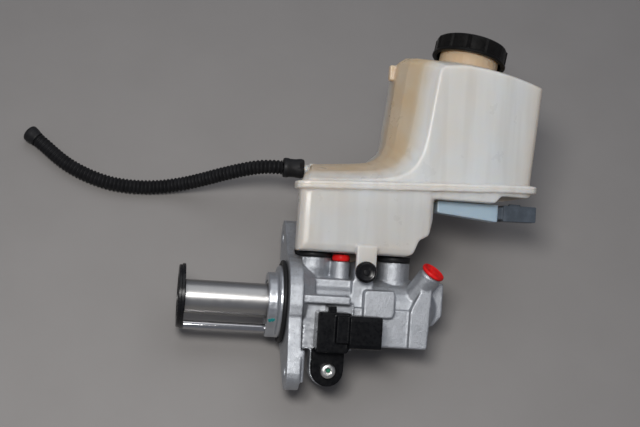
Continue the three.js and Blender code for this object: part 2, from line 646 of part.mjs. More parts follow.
const SCREW_AT = [SWITCH.x, SWITCH.screwY, 0];
add(bench, "switch_bush", ring(2.9, 3.9, SWITCH.pad + GAP, 34, SCREW_AT, Z, 16), "steel");
add(bench, "switch_screw",
  cut(
    join(
      turned([[0, 34.3], [5.1, 34.3], [5.1, 37], [4, 38.2], [0, 38.4]], SCREW_AT, Z, 20),
      rod(1.9, 19, 35, SCREW_AT, Z, 12),
    ),
    rod(2.2, 35.6, 40, SCREW_AT, Z, 6),
  ), "steel");

// ---------------------------------------------------------------- shipping plugs of the outlets
add(bench, "front_outlet_plug",
  turned([
    [0, -9], [3.4, -9], [4.3, -7.6], [4.3, -1.2], [8, -1.2], [8.4, 0.2], [7.6, 1], [6.6, 0.4],
    [3.4, -0.4], [2.6, -5], [0, -5.4],
  ], FRONT_PORT.at, FRONT_PORT.towards), "red");
add(bench, "middle_outlet_plug",
  turned([
    [0, 22], [3.6, 22], [4.2, 23], [4.2, OUTLET.top + GAP], [6, OUTLET.top + GAP],
    [6.2, OUTLET.top + 3], [5.4, OUTLET.top + 4.6], [0, OUTLET.top + 4.8],
  ], [OUTLET.x, 0, OUTLET.z], Y, 20), "red");

// ---------------------------------------------------------------- breather hose
add(bench, "hose_reservoir_cuff",
  turned([[4.1, 14.6], [HOSE.cuffR - 0.6, 14.6], [HOSE.cuffR - 0.1, 11], [HOSE.cuffR - 0.5, 4],
    [HOSE.cuffR, 0.4], [HOSE.cuffR - 0.6, -1], [4.1, -1], [4.1, 14.6]],
    [0, HOSE.nipple.y, HOSE.nipple.z], X, 20), "rubber");

bench.rotation.x = LIE_ANGLE;
bench.position.set(-CENTRE.x, -CENTRE.y, REST_DEPTH);
part.add(bench);

// The corrugated hose leaves the cuff level, comes down to the surface and curves away on it. Its
// centreline is given in the frame the assembly lies in, Z = 0 being the surface.
const HOSE_ROUTE = [
  [-53.2, 47.2, 43], [-60.5, 47.2, 42.8], [-69, 47.8, 40.6], [-77.5, 48.2, 36.9], [-87, 48.4, 32],
  [-98, 48.6, 25.6], [-109, 48.7, 18.8], [-120, 48.7, 12.8], [-131, 48.3, 8.6], [-142.5, 47.4, 6.2],
  [-154, 46.6, 5.6], [-166, 46.6, 5.6], [-178, 48.1, 5.6], [-190, 51.6, 5.6], [-201.5, 56.7, 5.6],
  [-212, 63, 5.6], [-221, 70.2, 5.7], [-228.5, 77, 6], [-235.5, 83, 6.3],
].map((p) => new THREE.Vector3(...p));

function hoseTube() {
  const section = new THREE.Shape();
  section.absarc(0, 0, HOSE.r, 0, 2 * Math.PI);
  return solid(
    new THREE.ExtrudeGeometry(section, {
      steps: 18,
      curveSegments: 5,
      extrudePath: new THREE.CatmullRomCurve3(HOSE_ROUTE),
      bevelEnabled: false,
    }),
  );
}

function hoseEndCuff() {
  const end = HOSE_ROUTE[HOSE_ROUTE.length - 1];
  const away = new THREE.CatmullRomCurve3(HOSE_ROUTE).getTangent(1);
  return turned([[3.6, GAP], [HOSE.endCuffR - 0.2, GAP], [HOSE.endCuffR, 1.4], [HOSE.endCuffR, 8.6],
    [5.4, 9.6], [3.6, 9.6], [3.6, GAP]], end.toArray(), away.toArray(), 20);
}

add(part, "hose_tube", hoseTube(), "black");
add(part, "hose_end_cuff", hoseEndCuff(), "rubber");

export default part;
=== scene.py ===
"""Looks of a brake master cylinder that lies on a pale table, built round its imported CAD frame.

Most shapes are given in the casting's bench frame, in millimetres: x along the bore from the booster
face to the nose, y towards the filler cap, z towards the brake light switch. BENCH takes that frame to
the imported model's frame, in metres, in which the part lies rolled by 32 degrees.
"""

import math

import bmesh
import bpy
from mathutils import Matrix, Vector


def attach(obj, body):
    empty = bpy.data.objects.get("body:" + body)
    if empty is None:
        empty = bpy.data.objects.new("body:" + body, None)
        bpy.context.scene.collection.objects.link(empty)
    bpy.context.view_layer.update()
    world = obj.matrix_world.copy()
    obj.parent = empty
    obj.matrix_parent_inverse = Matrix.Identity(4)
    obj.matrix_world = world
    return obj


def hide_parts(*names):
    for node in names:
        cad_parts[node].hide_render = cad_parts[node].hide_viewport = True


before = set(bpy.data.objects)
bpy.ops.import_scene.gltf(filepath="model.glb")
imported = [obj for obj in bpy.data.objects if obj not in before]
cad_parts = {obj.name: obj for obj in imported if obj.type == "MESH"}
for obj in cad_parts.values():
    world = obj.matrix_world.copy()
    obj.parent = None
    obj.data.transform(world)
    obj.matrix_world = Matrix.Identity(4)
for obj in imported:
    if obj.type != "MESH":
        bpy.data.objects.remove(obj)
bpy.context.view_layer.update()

# ------------------------------------------------------------------ places and sizes
MM = 0.001
LIE_ANGLE = math.radians(32)
CENTRE = Vector((51.4, 61.42, 0))  # middle of the footprint, from the booster face and the bore axis
REST_DEPTH = 34  # bore axis above the table
ROLL = Matrix.Rotation(LIE_ANGLE, 4, "X")
BENCH = Matrix.Scale(MM, 4) @ Matrix.Translation(Vector((0, 0, REST_DEPTH)) - CENTRE) @ ROLL
ROW = Matrix.Scale(MM, 4)

X, Y, Z = Vector((1, 0, 0)), Vector((0, 1, 0)), Vector((0, 0, 1))
ORIGIN = Vector((0, 0, 0))

PISTON_REAR = -68.4
ROD_AT = Vector((0, -19.2, 2))
REAR_BOSS_X, FRONT_BOSS_X = 18.6, 75.9
PIN_AT = Vector((51.5, 24.2, 0))
FRONT_PORT_AT, FRONT_PORT_AXIS = Vector((99.6, 27, 22)), Vector((0.44, 0.784, 0.44)).normalized()
MIDDLE_PORT_AT = Vector((37.2, 0, 7))
SCREW_AT = Vector((28.1, -42.6, 0))
NIPPLE_AT = Vector((0, 97, -50))
CAP_AT = Vector((127.4, 181.8, -20))
CAP_AXIS = Vector((math.sin(math.radians(10.8)), 1, -math.sin(math.radians(5)))).normalized()
SEAM_Y, SEAM_SLOPE = 80.9, 0.0483  # height of the weld between the shells at x = 0, and its rise along x

HOSE_DIAMETER = 10.8
HOSE_ROUTE = [Vector(p) for p in (
    (-53.2, 47.2, 43), (-60.5, 47.2, 42.8), (-69, 47.8, 40.6), (-77.5, 48.2, 36.9), (-87, 48.4, 32),
    (-98, 48.6, 25.6), (-109, 48.7, 18.8), (-120, 48.7, 12.8), (-131, 48.3, 8.6), (-142.5, 47.4, 6.2),
    (-154, 46.6, 5.6), (-166, 46.6, 5.6), (-178, 48.1, 5.6), (-190, 51.6, 5.6), (-201.5, 56.7, 5.6),
    (-212, 63, 5.6), (-221, 70.2, 5.7), (-228.5, 77, 6), (-235.5, 83, 6.3),
)]

# ------------------------------------------------------------------ camera and lights
CAMERA_PLACE = Vector((-0.1436, -0.4374, 0.6978))
CAMERA_RIGHT = Vector((0.98664, -0.02504, 0.16101))
CAMERA_UP = Vector((-0.06914, 0.83042, 0.55283))
CAMERA_BACK = CAMERA_RIGHT.cross(CAMERA_UP)
CAMERA_LENS = 62.06  # mm, on a 36 mm wide sensor
SENSOR_WIDTH = 36

FLASH_PLACE = CAMERA_PLACE + 0.17 * CAMERA_UP - 0.06 * CAMERA_RIGHT  # just above the camera
CEILING_PLACE = (0.1, 0.5, 1.1)
LIT_SPOT = (0.0, 0.0, 0.05)
ROOM_STRENGTH = 0.22


def turned_to(right, up, back, place):
    """The matrix of an object whose own axes are right, up and back."""
    turn = Matrix((right, up, back)).transposed().to_4x4()
    return Matrix.Translation(place) @ turn


def make_camera():
    camera = bpy.data.objects.new("camera", bpy.data.cameras.new("camera"))
    camera.data.sensor_width = SENSOR_WIDTH
    camera.data.lens = CAMERA_LENS
    camera.data.clip_start = 0.01
    camera.matrix_world = turned_to(CAMERA_RIGHT, CAMERA_UP, CAMERA_BACK, CAMERA_PLACE)
    bpy.context.scene.collection.objects.link(camera)
    bpy.context.scene.camera = camera


def make_softbox(name, place, target, size, power, colour=(1, 1, 1)):
    data = bpy.data.lights.new(name, "AREA")
    data.shape = "RECTANGLE"
    data.size, data.size_y = size
    data.energy = power
    data.color = colour
    light = bpy.data.objects.new(name, data)
    back = (Vector(place) - Vector(target)).normalized()
    light.matrix_world = Matrix.Translation(place) @ back.to_track_quat("Z", "Y").to_matrix().to_4x4()
    bpy.context.scene.collection.objects.link(light)


def make_lights():
    make_softbox("flash", FLASH_PLACE, LIT_SPOT, (0.26, 0.16), 4.3, (1, 0.985, 0.96))
    make_softbox("ceiling", CEILING_PLACE, LIT_SPOT, (1.0, 1.0), 2.2, (0.95, 0.97, 1))
    world = bpy.data.worlds.new("room")
    world.use_nodes = True
    background = world.node_tree.nodes["Background"]
    background.inputs["Color"].default_value = (0.86, 0.89, 1, 1)
    background.inputs["Strength"].default_value = ROOM_STRENGTH
    bpy.context.scene.world = world
    bpy.context.scene.view_settings.view_transform = "Standard"


make_camera()
make_lights()


# ------------------------------------------------------------------ meshes
def object_from(name, mesh_data, place, body, material, replaces=(), smooth_angle=38):
    """A piece riding on a body, from (vertices, faces) in the frame that place takes to the model's."""
    vertices, faces = mesh_data
    mesh = bpy.data.meshes.new(name)
    mesh.from_pydata([place @ Vector(v) for v in vertices], [], faces)
    mesh.validate()
    tidy_faces(mesh, smooth_angle)
    return dress(bpy.data.objects.new(name, mesh), body, material, replaces)


def tidy_faces(mesh, smooth_angle):
    """Faces turned outwards, and shaded smooth across edges up to smooth_angle degrees."""
    shape = bmesh.new()
    shape.from_mesh(mesh)
    bmesh.ops.recalc_face_normals(shape, faces=shape.faces)
    shape.to_mesh(mesh)
    shape.free()
    mesh.shade_smooth()
    mesh.set_sharp_from_angle(angle=math.radians(smooth_angle))


def dress(piece, body, material, replaces=()):
    bpy.context.scene.collection.objects.link(piece)
    piece.data.materials.clear()
    piece.data.materials.append(material)
    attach(piece, body)
    if replaces:
        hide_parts(*replaces)
    return piece


def lathe(profile, at=ORIGIN, axis=X, segments=72, wobble=None):
    """A turned shape: profile is a closed or axis-to-axis list of (radius, distance along axis)."""
    turn = Z.rotation_difference(Vector(axis))
    vertices, rings = [], []
    for r, t in profile:
        if r < 1e-6:
            rings.append([len(vertices)] * segments)
            vertices.append(Vector(at) + turn @ Vector((0, 0, t)))
            continue
        rings.append(list(range(len(vertices), len(vertices) + segments)))
        for i in range(segments):
            a = 2 * math.pi * i / segments
            radius = r + (wobble(a, r, t) if wobble else 0)
            spot = Vector((radius * math.cos(a), radius * math.sin(a), t))
            vertices.append(Vector(at) + turn @ spot)
    faces = []
    for low, high in zip(rings, rings[1:]):
        for i in range(segments):
            j = (i + 1) % segments
            corners = [low[i], low[j], high[j], high[i]]
            faces.append([v for k, v in enumerate(corners) if v not in corners[:k]])
    return vertices, [f for f in faces if len(f) > 2]


def closed(profile):
    """The profile with its first corner repeated at its end."""
    return list(profile) + [profile[0]]


def together(*shapes):
    """Several (vertices, faces) shapes as one."""
    vertices, faces = [], []
    for more_vertices, more_faces in shapes:
        start = len(vertices)
        vertices += list(more_vertices)
        faces += [[start + i for i in face] for face in more_faces]
    return vertices, faces


def applied(piece):
    """The piece with its modifiers made part of its mesh."""
    bpy.context.view_layer.update()
    graph = bpy.context.evaluated_depsgraph_get()
    mesh = bpy.data.meshes.new_from_object(piece.evaluated_get(graph))
    piece.modifiers.clear()
    piece.data = mesh
    return piece


def softened(nodes, body, material, voxel, passes, shifts=None):
    """A moulded or cast copy of CAD nodes: the surface is remeshed finely and its corners are rounded."""
    mesh = bpy.data.meshes.new(nodes[0] + "_fine")
    shape = bmesh.new()
    for node in nodes:
        known = len(shape.verts)
        shape.from_mesh(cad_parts[node].data)
        shape.verts.ensure_lookup_table()
        for vertex in shape.verts[known:]:
            vertex.co += (shifts or {}).get(node, ORIGIN)
    bmesh.ops.remove_doubles(shape, verts=shape.verts, dist=0.005 * MM)
    shape.to_mesh(mesh)
    shape.free()
    piece = dress(bpy.data.objects.new(nodes[0] + "_fine", mesh), body, material, nodes)
    remesh = piece.modifiers.new("skin", "REMESH")
    remesh.mode = "VOXEL"
    remesh.voxel_size = voxel * MM
    smooth = piece.modifiers.new("corners", "SMOOTH")
    smooth.factor = 0.5
    smooth.iterations = passes
    applied(piece)
    piece.data.materials.clear()
    piece.data.materials.append(material)
    piece.data.shade_smooth()
    return piece


# ------------------------------------------------------------------ materials
class Surface:
    """A material in the making: one Principled shader and the nodes that feed it.

    Patterns are laid out in the bench frame, in millimetres, and move with the piece.
    """

    def __init__(self, name, roughness, metallic=0.0, **sockets):
        self.material = bpy.data.materials.new(name)
        self.material.use_nodes = True
        self.tree = self.material.node_tree
        self.shader = self.tree.nodes["Principled BSDF"]
        self.shader.inputs["Roughness"].default_value = roughness
        self.shader.inputs["Metallic"].default_value = metallic
        for socket, value in sockets.items():
            self.shader.inputs[socket.replace("_", " ")].default_value = value
        source = self.node("ShaderNodeTexCoord")
        place = self.node("ShaderNodeMapping")
        back = ROLL.inverted()
        place.inputs["Scale"].default_value = (1 / MM, 1 / MM, 1 / MM)
        place.inputs["Rotation"].default_value = (-LIE_ANGLE, 0, 0)
        place.inputs["Location"].default_value = back @ (CENTRE - Vector((0, 0, REST_DEPTH)))
        self.tree.links.new(source.outputs["Object"], place.inputs["Vector"])
        self.place = place.outputs["Vector"]

    def node(self, kind):
        return self.tree.nodes.new(kind)

    def link(self, value, socket):
        if isinstance(value, bpy.types.NodeSocket):
            self.tree.links.new(value, socket)
        else:
            socket.default_value = value

    def spread(self, x, y, z):
        """Bench coordinates stretched along the three axes."""
        scale = self.node("ShaderNodeVectorMath")
        scale.operation = "MULTIPLY"
        self.link(self.place, scale.inputs[0])
        scale.inputs[1].default_value = (1 / x, 1 / y, 1 / z)
        return scale.outputs[0]

    def noise(self, size, detail=3.0, roughness=0.55, stretch=(1, 1, 1)):
        """Noise from 0 to 1 whose lumps are about size millimetres across."""
        noise = self.node("ShaderNodeTexNoise")
        self.link(self.spread(*stretch), noise.inputs["Vector"])
        noise.inputs["Scale"].default_value = 1 / size
        noise.inputs["Detail"].default_value = detail
        noise.inputs["Roughness"].default_value = roughness
        return noise.outputs["Fac"]

    def along(self, axis, start, end):
        """0 before start and 1 after end, along one bench axis, in millimetres."""
        parts = self.node("ShaderNodeSeparateXYZ")
        self.link(self.place, parts.inputs[0])
        return self.remap(parts.outputs[axis], start, end)

    def remap(self, value, low, high, to_low=0.0, to_high=1.0):
        ramp = self.node("ShaderNodeMapRange")
        ramp.interpolation_type = "SMOOTHSTEP"
        self.link(value, ramp.inputs["Value"])
        ramp.inputs["From Min"].default_value = low
        ramp.inputs["From Max"].default_value = high
        ramp.inputs["To Min"].default_value = to_low
        ramp.inputs["To Max"].default_value = to_high
        return ramp.outputs["Result"]

    def combine(self, operation, a, b):
        maths = self.node("ShaderNodeMath")
        maths.operation = operation
        self.link(a, maths.inputs[0])
        self.link(b, maths.inputs[1])
        return maths.outputs[0]

    def mix(self, a, b, amount):
        mix = self.node("ShaderNodeMix")
        mix.data_type = "RGBA"
        self.link(amount, mix.inputs["Factor"])
        self.link(a if isinstance(a, bpy.types.NodeSocket) else (*a, 1), mix.inputs["A"])
        self.link(b if isinstance(b, bpy.types.NodeSocket) else (*b, 1), mix.inputs["B"])
        return mix.outputs["Result"]

    def weld_line(self):
        """1 everywhere but in the narrow groove between the two shells of the reservoir."""
        parts = self.node("ShaderNodeSeparateXYZ")
        self.link(self.place, parts.inputs[0])
        rise = self.combine("MULTIPLY", parts.outputs["X"], SEAM_SLOPE)
        away = self.combine("SUBTRACT", self.combine("SUBTRACT", parts.outputs["Y"], SEAM_Y), rise)
        return self.remap(self.combine("ABSOLUTE", away, 0.0), 0.1, 0.55)

    def attribute(self, name):
        reader = self.node("ShaderNodeAttribute")
        reader.attribute_name = name
        return reader.outputs["Fac"]

    def feed(self, socket, value):
        self.link(value, self.shader.inputs[socket])
        return self

    def bump(self, *layers):
        """Relief from (height, depth in millimetres) layers, laid one on another."""
        below = None
        for height, depth in layers:
            bump = self.node("ShaderNodeBump")
            bump.inputs["Strength"].default_value = 1
            bump.inputs["Distance"].default_value = depth * MM
            self.link(height, bump.inputs["Height"])
            if below:
                self.link(below, bump.inputs["Normal"])
            below = bump.outputs["Normal"]
        self.link(below, self.shader.inputs["Normal"])
        return self


def cast_aluminium():
    s = Surface("cast_aluminium", 0.5, 0.85)
    tone = s.mix((0.37, 0.39, 0.42), (0.52, 0.54, 0.57), s.noise(8, 4))
    tone = s.mix(tone, (0.30, 0.30, 0.31), s.remap(s.noise(1.6, 4, 0.75), 0.5, 0.7, 0, 0.62))
    machined = s.attribute("machined")
    s.feed("Base Color", s.mix(tone, (0.50, 0.52, 0.55), machined))
    rough = s.remap(s.noise(3.5, 4), 0.3, 0.7, 0.40, 0.54)
    s.feed("Roughness", s.combine("SUBTRACT", rough, s.remap(machined, 0, 1, 0, 0.12)))
    relief = s.remap(machined, 0, 1, 1, 0.08)
    depth = s.combine("MULTIPLY", s.noise(1.1, 4, 0.8), relief)
    waves = s.combine("MULTIPLY", s.noise(4, 3), relief)
    return s.bump((waves, 0.18), (depth, 0.30)).material


def turned_aluminium():
    """Bright metal with very fine turning rings."""
    s = Surface("turned_aluminium", 0.3, 1.0)
    rings = s.noise(0.5, 2, 0.5, (1, 80, 80))
    s.feed("Base Color", s.mix((0.42, 0.415, 0.41), (0.46, 0.455, 0.45), rings))
    s.feed("Roughness", s.remap(s.noise(5, 3), 0.3, 0.7, 0.31, 0.36))
    return s.bump((rings, 0.0018)).material


def polished_steel():
    s = Surface("polished_steel", 0.12, 1.0)
    s.feed("Base Color", s.mix((0.44, 0.44, 0.45), (0.52, 0.52, 0.53), s.noise(1.2, 3, 0.6, (1, 30, 30))))
    s.feed("Roughness", s.remap(s.noise(2, 4), 0.3, 0.7, 0.06, 0.11))
    return s.bump((s.noise(0.4, 2, 0.5, (1, 30, 30)), 0.001)).material


def zinc_steel():
    s = Surface("zinc_steel", 0.35, 1.0)
    s.feed("Base Color", s.mix((0.55, 0.55, 0.53), (0.72, 0.72, 0.70), s.noise(1.5, 4)))
    s.feed("Roughness", s.remap(s.noise(1.1, 3), 0.3, 0.7, 0.26, 0.44))
    return s.bump((s.noise(0.5, 3), 0.02)).material


def spring_wire():
    s = Surface("spring_wire", 0.35, 1.0)
    s.feed("Base Color", s.mix((0.36, 0.36, 0.38), (0.50, 0.50, 0.51), s.noise(2.5, 4)))
    return s.bump((s.noise(0.3, 2), 0.01)).material


def milky_plastic(name, tone, yellowing_and_shade_tone, weld=False):
    """Translucent natural polypropylene, with faint flow streaks along the bench's Y; the lighter streaks
    are also painted highlight streaks.

    Everything set back behind its near face, below bench z = 20.5 mm, gets a painted tan shade that fades
    towards the far side. With weld it also has the groove between the reservoir's shells, and painted shade
    makes it darker below that groove.
    """
    s = Surface(name, 0.34, 0.0, IOR=1.49)
    s.shader.inputs["Subsurface Weight"].default_value = 0.9
    s.shader.inputs["Subsurface Radius"].default_value = (1.0, 0.8, 0.6)
    s.shader.inputs["Subsurface Scale"].default_value = 0.009
    s.shader.inputs["Specular IOR Level"].default_value = 0.5
    clouds = s.remap(s.noise(30, 2, 0.45, (1, 2.2, 1)), 0.36, 0.68, 0, 0.22)
    # depth is a painted tan shade, not thicker plastic: none on the near face, full behind bench z = 5 mm,
    # with a little noise
    depth = s.combine("MULTIPLY", s.along("Z", 20.5, 5), s.remap(s.noise(24, 2), 0.3, 0.7, 0.8, 1))
    # the painted shade fades to 35% towards the far side
    depth = s.combine("MULTIPLY", depth, s.remap(s.along("Z", -48, -16), 0, 1, 0.35, 1))
    streaks = s.remap(s.noise(9, 2, 0.5, (1, 14, 1)), 0.42, 0.62, 0, 0.5)
    # lighter streaks along Y: flow marks, which also serve as painted highlight streaks
    flow_and_highlight_streaks = s.remap(s.noise(6, 2, 0.5, (1, 12, 1)), 0.45, 0.75, 0, 0.22)
    lit = s.mix(tone, tuple(0.8 * t + 0.06 * d for t, d in zip(tone, yellowing_and_shade_tone)), streaks)
    lit = s.mix(lit, tuple(min(1, 1.1 * c) for c in tone), flow_and_highlight_streaks)
    # clouds are random yellowing of the plastic; depth lays the painted tan shade over it
    colour = s.mix(lit, yellowing_and_shade_tone, s.combine("MAXIMUM", clouds, depth))
    layers = [(s.noise(16, 2, 0.4), 0.16), (s.noise(0.9, 3), 0.008)]
    if weld:
        layers.append((s.weld_line(), 0.35))
        # painted shade: below the weld groove the plastic is mixed 40% towards a darker copy of its own
        # tone
        shaded = s.combine("MULTIPLY", s.along("Y", 84, 66), 0.4)
        colour = s.mix(colour, tuple(0.62 * c for c in tone), shaded)
    s.feed("Base Color", colour)
    s.feed("Roughness", s.remap(s.noise(13, 3), 0.3, 0.7, 0.27, 0.38))
    return s.bump(*layers).material


def moulded_plastic(name, colour, roughness, grain=0.5, depth=0.02, shine=0.10):
    """Opaque moulded plastic with a fine etched grain and faint flow marks."""
    s = Surface(name, roughness)
    s.shader.inputs["Specular IOR Level"].default_value = shine
    lighter = tuple(min(1, 1.5 * c + 0.002) for c in colour)
    s.feed("Base Color", s.mix(colour, lighter, s.remap(s.noise(6, 5, 0.6), 0.35, 0.8)))
    s.feed("Roughness", s.remap(s.noise(2.5, 4), 0.3, 0.7, roughness - 0.07, roughness + 0.1))
    return s.bump((s.noise(grain, 3, 0.65), depth), (s.noise(9, 2), 0.08)).material


def soft_rubber(name, colour, roughness):
    s = Surface(name, roughness)
    s.shader.inputs["Specular IOR Level"].default_value = 0.25
    dusty = tuple(2 * c + 0.006 for c in colour)
    s.feed("Base Color", s.mix(colour, dusty, s.remap(s.noise(1.6, 5, 0.7), 0.5, 0.85)))
    s.feed("Roughness", s.remap(s.noise(2, 4), 0.3, 0.7, roughness - 0.08, roughness + 0.08))
    return s.bump((s.noise(0.7, 3, 0.7), 0.03)).material


def tinned_brass():
    s = Surface("tinned_brass", 0.3, 1.0)
    s.feed("Base Color", s.mix((0.72, 0.58, 0.32), (0.76, 0.72, 0.62), s.noise(1.8, 3)))
    return s.bump((s.noise(0.4, 2), 0.006)).material


def paint(name, colour):
    s = Surface(name, 0.42)
    s.feed("Base Color", s.mix(colour, tuple(0.6 * c for c in colour), s.noise(0.9, 4)))
    return s.bump((s.noise(0.5, 3), 0.05)).material


CAST = cast_aluminium()
TURNED = turned_aluminium()
POLISHED = polished_steel()
ZINC = zinc_steel()
WIRE = spring_wire()
MILKY = milky_plastic("natural_plastic", (0.72, 0.705, 0.68), (0.66, 0.48, 0.31), True)
STRAINER = milky_plastic("strainer_plastic", (0.78, 0.75, 0.68), (0.68, 0.62, 0.52))
BLACK = moulded_plastic("black_plastic", (0.004, 0.004, 0.005), 0.27, shine=0.32)
CAP_BLACK = moulded_plastic("cap_plastic", (0.0040, 0.0036, 0.0033), 0.34, 0.7, 0.03, 0.16)
CONNECTOR = moulded_plastic("connector_plastic", (0.0030, 0.0032, 0.0040), 0.30, shine=0.14)
GREY_CONNECTOR = moulded_plastic("dark_grey_plastic", (0.064, 0.077, 0.094), 0.36)
SENSOR_BLUE = milky_plastic("sensor_plastic", (0.59, 0.73, 0.82), (0.40, 0.52, 0.61))
RED = moulded_plastic("red_plastic", (0.56, 0.012, 0.012), 0.38)
HOSE_BLACK = moulded_plastic("hose_plastic", (0.010, 0.010, 0.011), 0.42)
RUBBER = soft_rubber("seal_rubber", (0.011, 0.011, 0.012), 0.5)
HOSE_RUBBER = soft_rubber("hose_rubber", (0.010, 0.010, 0.011), 0.5)
BRASS = tinned_brass()
TEAL_PAINT = paint("teal_paint", (0.01, 0.30, 0.30))
GREEN_PAINT = paint("green_paint", (0.02, 0.22, 0.12))


# ------------------------------------------------------------------ the breather hose
def fine_route(points, steps):
    """A smooth curve through the points, in steps pieces a span (Catmull-Rom)."""
    fine = []
    for i in range(len(points) - 1):
        a, b, c, d = (points[min(max(k, 0), len(points) - 1)] for k in (i - 1, i, i + 1, i + 2))
        for s in range(steps):
            t = s / steps
            fine.append(0.5 * (2 * b + (c - a) * t + (2 * a - 5 * b + 4 * c - d) * t ** 2
                               + (3 * b - a - 3 * c + d) * t ** 3))
    return fine + [points[-1]]


def spaced(points, gap):
    """Points every gap along a polyline, and how far along it each lies."""
    travelled = [0.0]
    for a, b in zip(points, points[1:]):
        travelled.append(travelled[-1] + (b - a).length)
    count = round(travelled[-1] / gap)
    result, k = [], 0
    for i in range(count + 1):
        at = travelled[-1] * i / count
        while k < len(points) - 2 and travelled[k + 1] < at:
            k += 1
        share = (at - travelled[k]) / (travelled[k + 1] - travelled[k])
        result.append((points[k].lerp(points[k + 1], share), at))
    return result


def swept(route, radius_at, segments=20):
    """A tube round the route, closed at both ends, whose radius follows the distance along it."""
    vertices, faces = [], []
    side = Z.copy()
    for i, (point, at) in enumerate(route):
        ahead = route[min(i + 1, len(route) - 1)][0] - route[max(i - 1, 0)][0]
        forward = ahead.normalized()
        side = (side - side.dot(forward) * forward).normalized()
        over = forward.cross(side)
        for k in range(segments):
            a = 2 * math.pi * k / segments
            r = radius_at(at)
            vertices.append(point + r * math.cos(a) * side + r * math.sin(a) * over)
    for i in range(len(route) - 1):
        for k in range(segments):
            j = (k + 1) % segments
            low, high = i * segments, (i + 1) * segments
            faces.append((low + k, low + j, high + j, high + k))
    faces.append(tuple(range(segments)))
    faces.append(tuple(range(len(vertices) - segments, len(vertices))))
    return vertices, faces


CORRUGATION = 2.9  # mm from crest to crest
VALLEY_DEPTH = 1.05


def corrugated(at):
    """Rounded crests with narrower valleys between them."""
    wave = 0.5 + 0.5 * math.cos(2 * math.pi * at / CORRUGATION)
    return HOSE_DIAMETER / 2 - VALLEY_DEPTH * (1 - wave ** 0.6)


def make_hose():
    line = fine_route(HOSE_ROUTE, 12)
    route = spaced(line, CORRUGATION / 8)
    tube = object_from("breather_hose", swept(route, corrugated), ROW, "housing", HOSE_BLACK,
                       ["hose_tube"], 60)
    end, before = HOSE_ROUTE[-1], HOSE_ROUTE[-2]
    away = (end - before).normalized()
    bell = lathe(closed([(3.6, 0.3), (5.3, 0.3), (5.6, 0.9), (5.5, 2.2), (6.1, 4.6), (6.4, 7.6), (6.3, 8.8),
                         (5.7, 9.4), (4.9, 9.5), (4.3, 8.6), (3.7, 6)]), end, away, 48)
    cuff = object_from("hose_bell_cuff", bell, ROW, "housing", HOSE_RUBBER, ["hose_end_cuff"], 50)


def claw(a, r, t):
    """The mouth of the reservoir cuff, cut back on two sides into a claw."""
    bite = max(0.0, math.cos(2 * a + 0.6)) ** 3
    return -2.4 * bite if t > 12.5 and r > 5 else 0


def make_reservoir_cuff():
    profile = [(4.1, 14.6), (6.2, 14.6), (6.9, 14.1), (7.3, 12.6), (7.2, 10.8), (6.8, 8), (6.8, 4),
               (7.3, 2.6), (7.3, 0.2), (6.9, -0.7), (5.8, -1), (4.1, -1)]
    shape = lathe(closed(profile), NIPPLE_AT, X, 64, claw)
    cuff = object_from("reservoir_cuff", shape, BENCH, "housing", HOSE_RUBBER, ["hose_reservoir_cuff"], 50)


make_hose()
make_reservoir_cuff()


# ------------------------------------------------------------------ casting
COLLAR_DEEP = 19.6  # radius a little under the collar's skin


def mark_machined(piece):
    """Writes which parts of the casting are machined: flat pads, the register and the seal faces."""
    inverse = BENCH.inverted()
    turn = ROLL.inverted().to_3x3()
    values = []
    for vertex in piece.data.vertices:
        p, n = inverse @ vertex.co, turn @ vertex.normal
        radius = math.hypot(p.y, p.z)
        pad = n.z > 0.9 and 26.2 < p.z < 27.6 and p.x < 46
        register = p.x < -0.3 and radius > 20.5 and abs(n.x) < 0.9
        collar = p.x < -5 and radius <= 20.6
        mouth = n.y > 0.9 and p.y > 31 and p.x > 0 and p.z > -14
        values.append(1.0 if pad or register or mouth else 0.7 if collar else 0.0)
    layer = piece.data.attributes.new("machined", "FLOAT", "POINT")
    layer.data.foreach_set("value", values)


def make_casting():
    casting = softened(["cylinder_casting"], "housing", CAST, voxel=0.7, passes=4)
    mark_machined(casting)
    ring = lathe(closed([(25.4, -2.9), (26.2, -3.3), (27.6, -3.3), (28.5, -2.9), (28.8, -2), (28.6, -1),
                         (27.8, -0.5), (25.4, -0.5)]), ORIGIN, X, 128)
    o_ring = object_from("register_o_ring", ring, BENCH, "housing", RUBBER, ["flange_o_ring"], 60)
    facing = Vector((0, -0.62, 0.785))
    spot = Vector((-9.2, 0, 0)) + COLLAR_DEEP * facing
    blot = lathe([(0, 0), (2.1, 0.1), (1.8, 0.4), (0, 0.5)], spot, facing, 32,
                 lambda a, r, t: 0.6 * math.sin(2 * a + 1) + 0.3 * math.sin(5 * a))
    object_from("teal_paint_mark", blot, BENCH, "housing", TEAL_PAINT)


